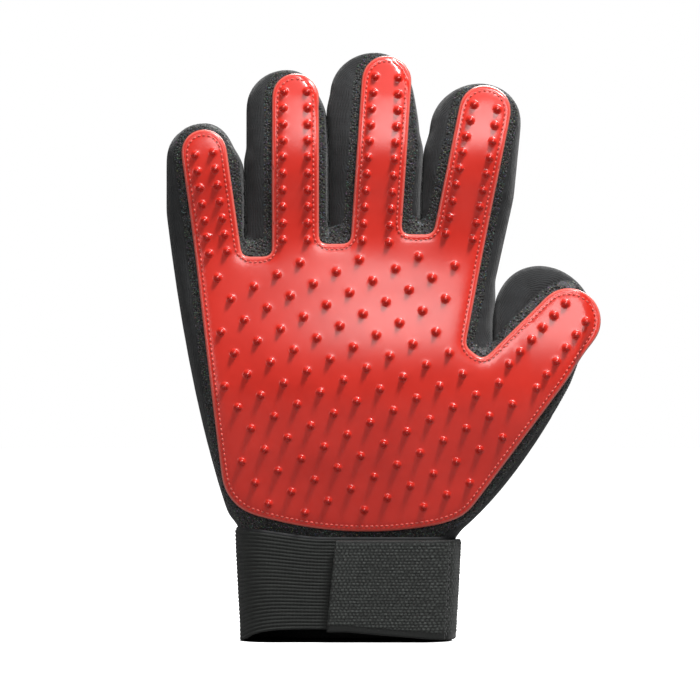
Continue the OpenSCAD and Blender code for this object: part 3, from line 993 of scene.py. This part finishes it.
def strap_sheet(name, along, heights, inner, outer_of, material, body=None, crest=None):
    """A sheet wrapped on the cuff with thickness. along and heights are grids; outer_of gives its face."""
    rows, columns = along.shape
    a, z = along.ravel(), heights.ravel()
    outer = outer_of(a, z)
    sheets = []
    for grow in (outer, np.broadcast_to(inner, a.shape)):
        x, y = oval_place(a, grow)
        sheets.append(np.column_stack([x, y, z]))
    co = narrowed(np.vstack(sheets))
    face = grid_faces(rows, columns)
    edge = list(range(columns)) + [columns * (i + 1) - 1 for i in range(1, rows)]
    edge += [rows * columns - 1 - k for k in range(1, columns)]
    edge += [columns * i for i in range(rows - 2, 0, -1)]
    total = rows * columns
    rim = [(b, c, c + total, b + total) for b, c in zip(edge, edge[1:] + edge[:1])]
    faces = np.vstack([face, face[:, ::-1] + total, np.array(rim)[:, ::-1]])
    uv = np.vstack([np.column_stack([a, z])] * 2)
    values = {} if crest is None else {"crest": np.concatenate([crest(a, z), np.zeros(total)])}
    piece = make_mesh(name, co, faces, None, {"flat": uv}, values, material)
    if body:
        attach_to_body(piece, body)
    return piece


def edged(value, low, high, width):
    """1 well inside a range, falling in a quarter round to 0 at its ends."""
    inset = np.clip(np.minimum(value - low, high - value) / width, 0, 1)
    return np.sqrt(1 - (1 - inset) ** 2)


def pebbled(a, z):
    """Height of the coarse weave: staggered rows of small rounded loops."""
    row = np.floor(z / PEBBLE_H)
    u = a / PEBBLE_W + 0.5 * (row % 2) + 0.18 * np.sin(row * 1.7)
    shape = np.abs(np.sin(math.pi * u)) * np.abs(np.sin(math.pi * z / PEBBLE_H))
    jitter = np.sin(np.floor(u) * 12.9898 + row * 78.233) * 43758.5453
    return shape ** 0.7 * (0.55 + 0.45 * (jitter - np.floor(jitter)))


def build_strap(materials):
    side_end = CUFF_FLAT + CUFF_DEPTH * math.pi / 2
    fold_end = CUFF_FLAT + CUFF_DEPTH * math.asin((FOLD_X + 4 * MM - CUFF_FLAT) / (CUFF_DEPTH + 2.7 * MM))
    tab_low, tab_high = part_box("strap_tab")
    inner = 2 * TAPE_T
    top = tab_high.z - 0.2 * MM
    fold_line = FOLD_X + 3.5 * MM

    def settled(a):
        """How far the strap sinks onto the elastic past its fold."""
        return STRAP_SINK * smoothstep(a, fold_end, side_end - 3 * MM)

    def low_edge(a):
        return 0.7 * MM + 3.6 * MM * np.clip((FOLD_X + 6 * MM - a) / (FOLD_X - tab_low.x), 0, 1)

    def woven(a, z):
        """The coarse weave, which stops at the selvedges."""
        above = z - low_edge(a)
        inside = smoothstep(above, SELVEDGE_H, SELVEDGE_H + 0.5 * MM)
        return pebbled(a, z) * inside * smoothstep(top - z, 0.8 * MM, 1.3 * MM)

    def face(a, z):
        low = low_edge(a)
        stitched = 0.35 * MM * np.exp(-((a - fold_line) / (0.5 * MM)) ** 2)
        round_edge = np.minimum(edged(z, low, top, 0.7 * MM), edged(a, free_edge(z), side_end, 0.7 * MM))
        lift = 0.5 * MM * smoothstep(-a, -free_edge(z) - 6 * MM, -free_edge(z))
        return (inner - settled(a) + (STRAP_T - 0.3 * MM) * (0.35 + 0.65 * round_edge) + lift * 0.4
                + 0.42 * MM * woven(a, z) - stitched)

    def free_edge(z):
        return tab_low.x - 1.4 * MM + (z - 5 * MM) * 0.09

    for name, start, end, nodes in (
        ("strap_webbing_tab", None, fold_end, ("strap_tab", "strap_selvedge")),
        ("strap_webbing_anchor", fold_end, side_end, ("strap_anchor",)),
    ):
        z_share = np.concatenate([[0, 0.004, 0.012], np.linspace(0.02, 0.98, 118), [0.988, 0.996, 1]])
        first = start if start is not None else tab_low.x
        a_share = np.linspace(0, 1, int((end - first) / (0.28 * MM)))
        edge_shares = [0, 0.003, 0.008] if start is None else [0]
        a_share = np.unique(np.concatenate([edge_shares, a_share[1:]]))
        share, across = np.meshgrid(z_share, a_share, indexing="ij")
        middle = top * share
        begin = free_edge(middle) if start is None else np.full(middle.shape, start)
        along = begin + (end - begin) * across
        low = low_edge(along)
        heights = low + (top - low) * share
        piece = strap_sheet(name, along, heights, inner - settled(along.ravel()), face,
                            materials["strap_webbing"], crest=woven)
        if start is None:
            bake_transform(piece)
        else:
            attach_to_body(piece, "hand")
        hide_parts(*nodes)
    stitch_rows(materials, fold_line, low_edge, top, inner)
    build_tapes(materials, tab_low)


def tubes(name, co, material, body):
    """Capped tubes on the cuff. co holds a point for each tube, ring and side."""
    count, rings, sides = co.shape[:3]
    faces = []
    for base in range(0, count * rings * sides, rings * sides):
        for ring in range(rings - 1):
            for k in range(sides):
                a, b = base + ring * sides + k, base + ring * sides + (k + 1) % sides
                faces.append((a, b, b + sides, a + sides))
        last = base + (rings - 1) * sides
        faces += [tuple(base + k for k in reversed(range(sides))), tuple(last + k for k in range(sides))]
    mesh = bpy.data.meshes.new(name)
    mesh.from_pydata(narrowed(co.reshape(-1, 3)).tolist(), [], faces)
    mesh.shade_smooth()
    mesh.materials.append(material)
    piece = bpy.data.objects.new(name, mesh)
    bpy.context.scene.collection.objects.link(piece)
    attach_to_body(piece, body)


def stitch_rows(materials, place, low_edge, top, inner):
    """The upright row of stitches that sews the strap down."""
    z = np.arange(float(low_edge(np.array(place))) + 2.2 * MM, top - 2 * MM, 2.4 * MM)[:, None, None]
    shape = np.array([(-0.9, 0.08), (-0.5, 0.24), (0.5, 0.24), (0.9, 0.08)]) * MM
    along, radius = (column[:, None] for column in shape.T)
    angle = np.linspace(0, 2 * math.pi, 6, endpoint=False)
    sunk = np.where(radius < 0.1 * MM, 0.25 * MM, 0)
    grow = inner + STRAP_T - 0.28 * MM + radius * np.sin(angle) - sunk
    x, y = oval_place(place + radius * np.cos(angle), grow)
    co = np.stack(np.broadcast_arrays(x, y, z + along), axis=-1)
    tubes("strap_stitches", co, materials["black_thread"], "hand")


def build_tapes(materials, tab_low):
    """Loop patch on the cuff and hook patch on the inside of the strap."""
    for name, node, body, trim, inner, slot in (
        ("loop_patch_pile", "loop_patch", "hand", (2, 4), -0.1 * MM, "loop_tape"),
        ("hook_patch_hooks", "hook_patch", "strap", (3, 8), 1.25 * MM, "hook_tape"),
    ):
        low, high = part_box(node)
        low_a, high_a = tab_low.x + trim[0] * MM, FOLD_X - trim[1] * MM
        a, z = np.meshgrid(np.arange(low_a, high_a, 0.33 * MM), np.arange(low.z, high.z, 0.33 * MM))

        def pile(a, z):
            fuzz = 0.12 * MM * creased(np.column_stack([a, z]), 0.9 * MM, 7)
            edge = edged(z, low.z, high.z, 0.6 * MM) * edged(a, low_a, high_a, 0.6 * MM)
            return 0.75 * MM * edge + fuzz

        def backing(a, z):
            return np.full(len(a), 2 * TAPE_T)

        face = pile if node == "loop_patch" else backing
        piece = strap_sheet(name, a, z, inner, face, materials[slot], body)
        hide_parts(node)
        if node == "hook_patch":
            build_hooks(materials, low_a, high_a, low.z, high.z)


def build_hooks(materials, low_a, high_a, low_z, high_z):
    """Rows of small bent hooks that face the cuff."""
    shape = [(0, 1.3, 0.16), (0, 1.02, 0.13), (0.12, 0.8, 0.11), (0.3, 0.74, 0.1), (0.42, 0.86, 0.07)]
    shift, depth, radius = (column[:, None] for column in np.array(shape).T * MM)
    angle = np.linspace(0, 2 * math.pi, 5, endpoint=False)
    z, a = np.meshgrid(np.arange(low_z + 1 * MM, high_z - 1 * MM, 1.3 * MM),
                       np.arange(low_a + 1 * MM, high_a - 1 * MM, 1.2 * MM), indexing="ij")
    z, a = z.reshape(-1, 1, 1), a.reshape(-1, 1, 1)
    x, y = oval_place(a + radius * np.cos(angle), depth)
    co = np.stack(np.broadcast_arrays(x, y, z + shift + radius * np.sin(angle)), axis=-1)
    tubes("hook_rows", co, materials["hook_tape"], "strap")


# ---- materials ----

RUBBER = (0.7, 0.03, 0.017)
RUBBER_DEEP = (0.6, 0.02, 0.01)
# Painted shade: the nubs are mixed towards this dark red, more the higher they stand.
RUBBER_NUB_SHADE = (0.36, 0.006, 0.004)
# Painted highlight along the pad's bevelled rim; the same pale pink also makes faint random specks in the
# rubber.
RUBBER_RIM_HIGHLIGHT_AND_SPECKS = (0.86, 0.2, 0.16)
FABRIC = (0.02, 0.021, 0.02)
KNIT = (0.014, 0.0148, 0.0155)
KNIT_LIGHT = (0.032, 0.034, 0.037)
ELASTIC = (0.011, 0.0125, 0.011)
ELASTIC_LIGHT = (0.021, 0.024, 0.021)
# Painted shade between the pebbles of the strap's weave.
WEBBING_SHADED = (0.007, 0.008, 0.0072)
# Painted highlight on the pebbles' tops.
WEBBING_HIGHLIGHT = (0.055, 0.061, 0.056)


class Look:
    """A procedural material. Pattern sizes are in millimetres."""

    def __init__(self, name, roughness, specular=0.4, sheen=0.0):
        self.material = bpy.data.materials.new(name)
        self.material.use_nodes = True
        self.tree = self.material.node_tree
        self.shader = self.tree.nodes["Principled BSDF"]
        self.shader.inputs["Roughness"].default_value = roughness
        self.shader.inputs["Specular IOR Level"].default_value = specular
        self.shader.inputs["Sheen Weight"].default_value = sheen
        self.normal = None

    def node(self, kind, inputs=None, **settings):
        made = self.tree.nodes.new(kind)
        for key, value in settings.items():
            setattr(made, key, value)
        for key, value in (inputs or {}).items():
            self.feed(made.inputs[key], value)
        return made

    def feed(self, socket, value):
        if isinstance(value, bpy.types.NodeSocket):
            self.tree.links.new(value, socket)
        else:
            socket.default_value = value

    def math(self, operation, a, b=0.0):
        return self.node("ShaderNodeMath", {0: a, 1: b}, operation=operation).outputs[0]

    def place(self, layer, stretch=(1, 1)):
        """The piece's flat coordinates in millimetres."""
        uv = self.node("ShaderNodeUVMap", uv_map=layer).outputs[0]
        scale = (1000 / stretch[0], 1000 / stretch[1], 1)
        return self.node("ShaderNodeVectorMath", {0: uv, 1: scale}, operation="MULTIPLY").outputs[0]

    def axes(self, vector):
        return self.node("ShaderNodeSeparateXYZ", {0: vector}).outputs[:2]

    def noise(self, vector, size, detail=2.0):
        inputs = {"Vector": vector, "Scale": 1 / size, "Detail": detail}
        return self.node("ShaderNodeTexNoise", inputs).outputs["Fac"]

    def cells(self, vector, size, feature="F1", output="Distance", randomness=1.0):
        inputs = {"Vector": vector, "Scale": 1 / size, "Randomness": randomness}
        return self.node("ShaderNodeTexVoronoi", inputs, feature=feature).outputs[output]

    def wave(self, value, pitch):
        """0 to 1 and back once in each pitch."""
        turn = self.math("MULTIPLY", value, math.pi / pitch)
        return self.math("ABSOLUTE", self.math("SINE", turn))

    def ramp(self, value, low, high, out_low=0.0, out_high=1.0):
        inputs = {"Value": value, "From Min": low, "From Max": high, "To Min": out_low, "To Max": out_high}
        return self.node("ShaderNodeMapRange", inputs).outputs[0]

    def mix(self, factor, a, b):
        made = self.node("ShaderNodeMix", data_type="RGBA")
        self.feed(made.inputs[0], factor)
        self.feed(made.inputs[6], a if isinstance(a, bpy.types.NodeSocket) else (*a, 1))
        self.feed(made.inputs[7], b if isinstance(b, bpy.types.NodeSocket) else (*b, 1))
        return made.outputs[2]

    def attribute(self, name):
        return self.node("ShaderNodeAttribute", attribute_name=name).outputs["Fac"]

    def raised(self, height, depth, strength=1.0):
        """Adds relief of a depth in millimetres."""
        inputs = {"Height": height, "Distance": depth * MM, "Strength": strength}
        if self.normal:
            inputs["Normal"] = self.normal
        self.normal = self.node("ShaderNodeBump", inputs).outputs[0]

    def done(self, colour, roughness=None):
        self.feed(self.shader.inputs["Base Color"], colour)
        if roughness is not None:
            self.feed(self.shader.inputs["Roughness"], roughness)
        if self.normal:
            self.tree.links.new(self.normal, self.shader.inputs["Normal"])
        return self.material


def rubber_look():
    look = Look("rubber", 0.42, 0.15)
    place = look.place("flat")
    look.shader.inputs["Coat Weight"].default_value = 1
    look.shader.inputs["Coat Roughness"].default_value = 0.24
    cloudy = look.noise(place, 22, 3)
    body = look.mix(look.ramp(cloudy, 0.3, 0.7), RUBBER_DEEP, RUBBER)
    # Painted shade on the nubs: darker red towards their tips.
    body = look.mix(look.math("MULTIPLY", look.attribute("nub"), 0.6), body, RUBBER_NUB_SHADE)
    # Painted highlight: the pad's rim is mixed towards pale pink.
    body = look.mix(look.math("MULTIPLY", look.attribute("edge"), 0.75), body, RUBBER_RIM_HIGHLIGHT_AND_SPECKS)
    specks = look.ramp(look.cells(place, 0.9), 0.12, 0.0)
    body = look.mix(look.math("MULTIPLY", specks, 0.06), body, RUBBER_RIM_HIGHLIGHT_AND_SPECKS)
    look.raised(look.noise(place, 0.7, 3), 0.02)
    look.raised(look.noise(place, 9, 2), 0.12)
    return look.done(body, look.ramp(look.noise(place, 3.5, 3), 0.3, 0.75, 0.4, 0.55))


def open_mesh_look():
    look = Look("open_mesh", 0.6, 0.4, 0.15)
    place = look.place("flat")
    holes = look.cells(place, 1.3, randomness=0.8)
    cord = look.ramp(holes, 0.22, 0.5)
    look.raised(cord, 0.5)
    look.raised(look.noise(place, 0.3, 2), 0.12)
    glint = look.ramp(look.noise(place, 0.5, 1), 0.56, 0.66)
    tint = look.node("ShaderNodeTexVoronoi", {"Vector": place, "Scale": 1.4}).outputs["Color"]
    shine = look.mix(0.25, (0.12, 0.135, 0.125), tint)
    # Painted shade: the holes are near-black, darker than the cords.
    body = look.mix(cord, (0.0025, 0.0025, 0.0025), tuple(0.35 * c for c in FABRIC))
    body = look.mix(look.math("MULTIPLY", glint, look.math("MULTIPLY", cord, 0.55)), body, shine)
    return look.done(body, look.ramp(cord, 0, 1, 0.85, 0.5))


def knit_look():
    look = Look("knit", 0.72, 0.3, 0.2)
    place = look.place("band")
    across, along = look.axes(place)
    rib = look.wave(look.math("ADD", across, look.math("MULTIPLY", look.noise(place, 6, 2), 2)), 0.8)
    stitch = look.wave(look.math("ADD", along, look.math("MULTIPLY", rib, 0.25)), 0.6)
    relief = look.math("ADD", rib, look.math("MULTIPLY", stitch, 0.35))
    look.raised(look.noise(place, 5, 3), 0.35)
    look.raised(relief, 0.13)
    # Painted shade: darker where the relief is low, in the grooves between ribs and stitches.
    body = look.mix(look.ramp(relief, 0.1, 1.2), tuple(0.6 * c for c in KNIT), KNIT)
    mottle = look.mix(look.ramp(look.noise(place, 9, 3), 0.35, 0.75), body, look.mix(0.5, body, KNIT_LIGHT))
    return look.done(mottle)


def back_look():
    look = Look("back_fabric", 0.75, 0.3, 0.2)
    place = look.place("flat")
    across, along = look.axes(place)
    first = look.wave(look.math("ADD", across, along), 1.15)
    second = look.wave(look.math("SUBTRACT", across, along), 1.15)
    weave = look.math("MAXIMUM", first, second)
    look.raised(look.noise(place, 8, 3), 0.4)
    look.raised(weave, 0.2)
    look.raised(look.noise(place, 0.3, 2), 0.08)
    # Painted shade: darker where the weave is low, in its hollows.
    body = look.mix(look.ramp(weave, 0.6, 1), (0.007, 0.0075, 0.0075), KNIT)
    mottle = look.ramp(look.noise(place, 14, 3), 0.4, 0.7)
    return look.done(look.mix(mottle, body, look.mix(0.4, body, KNIT_LIGHT)))


def elastic_look():
    look = Look("ribbed_elastic", 0.68, 0.35, 0.15)
    place = look.place("flat")
    look.raised(look.wave(look.axes(place)[0], 0.55), 0.08)
    look.raised(look.noise(place, 0.35, 2), 0.08)
    tone = look.ramp(look.noise(look.place("flat", (6, 1)), 1.2, 2), 0.3, 0.7)
    crest = look.mix(tone, ELASTIC, ELASTIC_LIGHT)
    # Painted shade: near-black where the crest attribute is low, in the grooves between the ribs.
    return look.done(look.mix(look.ramp(look.attribute("crest"), 0.1, 0.85), (0.004, 0.0045, 0.004), crest))


def webbing_look():
    look = Look("strap_webbing", 0.55, 0.4, 0.1)
    place = look.place("flat")
    look.raised(look.wave(look.axes(place)[0], 0.5), 0.06)
    look.raised(look.noise(place, 0.4, 3), 0.1)
    # Painted highlight on the pebbles' tops and painted shade between them, broken up by noise.
    mottle = look.math("MULTIPLY", look.noise(place, 0.8, 3), 1.3)
    crest = look.ramp(look.math("ADD", look.attribute("crest"), mottle), 0.75, 1.6)
    return look.done(look.mix(crest, WEBBING_SHADED, WEBBING_HIGHLIGHT))


def thread_look(name, colour):
    look = Look(name, 0.45, 0.5, 0.2)
    place = look.node("ShaderNodeTexCoord").outputs["Object"]
    twist = look.noise(place, 0.0006, 2)
    look.raised(twist, 0.08)
    return look.done(look.mix(look.ramp(twist, 0.35, 0.65), colour, tuple(0.7 * c for c in colour)))


def tape_look(name, colour, size):
    look = Look(name, 0.9, 0.2, 0.4)
    place = look.place("flat")
    fibre = look.noise(place, size, 4)
    look.raised(fibre, 0.3)
    return look.done(look.mix(look.ramp(fibre, 0.35, 0.7), tuple(0.4 * c for c in colour), colour))


def all_materials():
    return {
        "rubber_pad": rubber_look(),
        "air_mesh": open_mesh_look(),
        "knit": knit_look(),
        "back_fabric": back_look(),
        "ribbed_elastic": elastic_look(),
        "strap_webbing": webbing_look(),
        "red_thread": thread_look("red_thread", (0.85, 0.12, 0.09)),
        "black_thread": thread_look("black_thread", (0.05, 0.05, 0.05)),
        "loop_tape": tape_look("loop_tape", (0.03, 0.031, 0.03), 0.5),
        "hook_tape": tape_look("hook_tape", (0.04, 0.041, 0.04), 0.9),
    }


# ---- studio ----

def build_studio():
    """Pale floor with a painted shadow inside the cuff's footprint, plain white surroundings, soft lights
    and a long lens square to the palm.
    """
    scene = bpy.context.scene
    scene.view_settings.view_transform = "Standard"
    world = bpy.data.worlds.new("studio")
    scene.world = world
    world.use_nodes = True
    nodes, links = world.node_tree.nodes, world.node_tree.links
    seen_directly = nodes.new("ShaderNodeLightPath").outputs["Is Camera Ray"]
    strength = nodes.new("ShaderNodeMapRange")
    strength.inputs["To Min"].default_value = WORLD_LIGHT
    links.new(seen_directly, strength.inputs["Value"])
    links.new(strength.outputs[0], nodes["Background"].inputs["Strength"])
    nodes["Background"].inputs["Color"].default_value = (1, 1, 1, 1)

    bpy.ops.mesh.primitive_plane_add(size=6, location=(0, 0, -0.00002))
    floor = bpy.context.object
    floor.name = "floor"
    look = Look("pale_floor", 0.9, 0.1)
    speck = look.noise(look.node("ShaderNodeTexCoord").outputs["Object"], 0.2, 2)
    look.shader.inputs["Emission Color"].default_value = (1, 1, 1, 1)
    direct = look.node("ShaderNodeLightPath").outputs["Is Camera Ray"]
    across, deep = look.axes(look.node("ShaderNodeTexCoord").outputs["Object"])
    # Painted shadow: inside the cuff's footprint the floor is near-black and does not glow.
    past = look.math("MAXIMUM", look.math("SUBTRACT", look.math("ABSOLUTE", across), CUFF_FLAT), 0.0)
    squares = look.math("ADD", look.math("MULTIPLY", past, past), look.math("MULTIPLY", deep, deep))
    outside = look.ramp(look.math("SQRT", squares), CUFF_DEPTH - 1.2 * MM, CUFF_DEPTH - 0.4 * MM)
    glow = look.math("MULTIPLY", outside, FLOOR_GLOW)
    look.feed(look.shader.inputs["Emission Strength"], look.math("MULTIPLY", direct, glow))
    floor_colour_with_painted_shadow = look.mix(outside, (0.01, 0.01, 0.01), look.mix(speck, (0.9, 0.9, 0.9), (0.93, 0.93, 0.93)))
    floor.data.materials.append(look.done(look.mix(direct, (BOUNCED_GREY,) * 3, floor_colour_with_painted_shadow)))

    target = Vector((0, 0, 0.12))
    for name, place, size, power in LIGHTS:
        light = bpy.data.lights.new(name, "AREA")
        light.energy = power
        light.size = size
        lamp = bpy.data.objects.new(name, light)
        lamp.location = place
        lamp.rotation_euler = (target - lamp.location).to_track_quat("-Z", "Y").to_euler()
        scene.collection.objects.link(lamp)

    camera = bpy.data.cameras.new("camera")
    camera.lens = LENS
    camera.clip_start, camera.clip_end = 0.01, 20
    seen = bpy.data.objects.new("camera", camera)
    distance = VIEW_HEIGHT / 2 / (camera.sensor_width / 2 / camera.lens)
    seen.location = (VIEW_CENTRE[0], -distance + NUB_TIP_Y, VIEW_CENTRE[1])
    seen.rotation_euler = (math.pi / 2, 0, 0)
    scene.collection.objects.link(seen)
    scene.camera = seen


finishes = all_materials()
build_shell(finishes)
build_pad(finishes)
build_cuff(finishes)
build_strap(finishes)
build_studio()
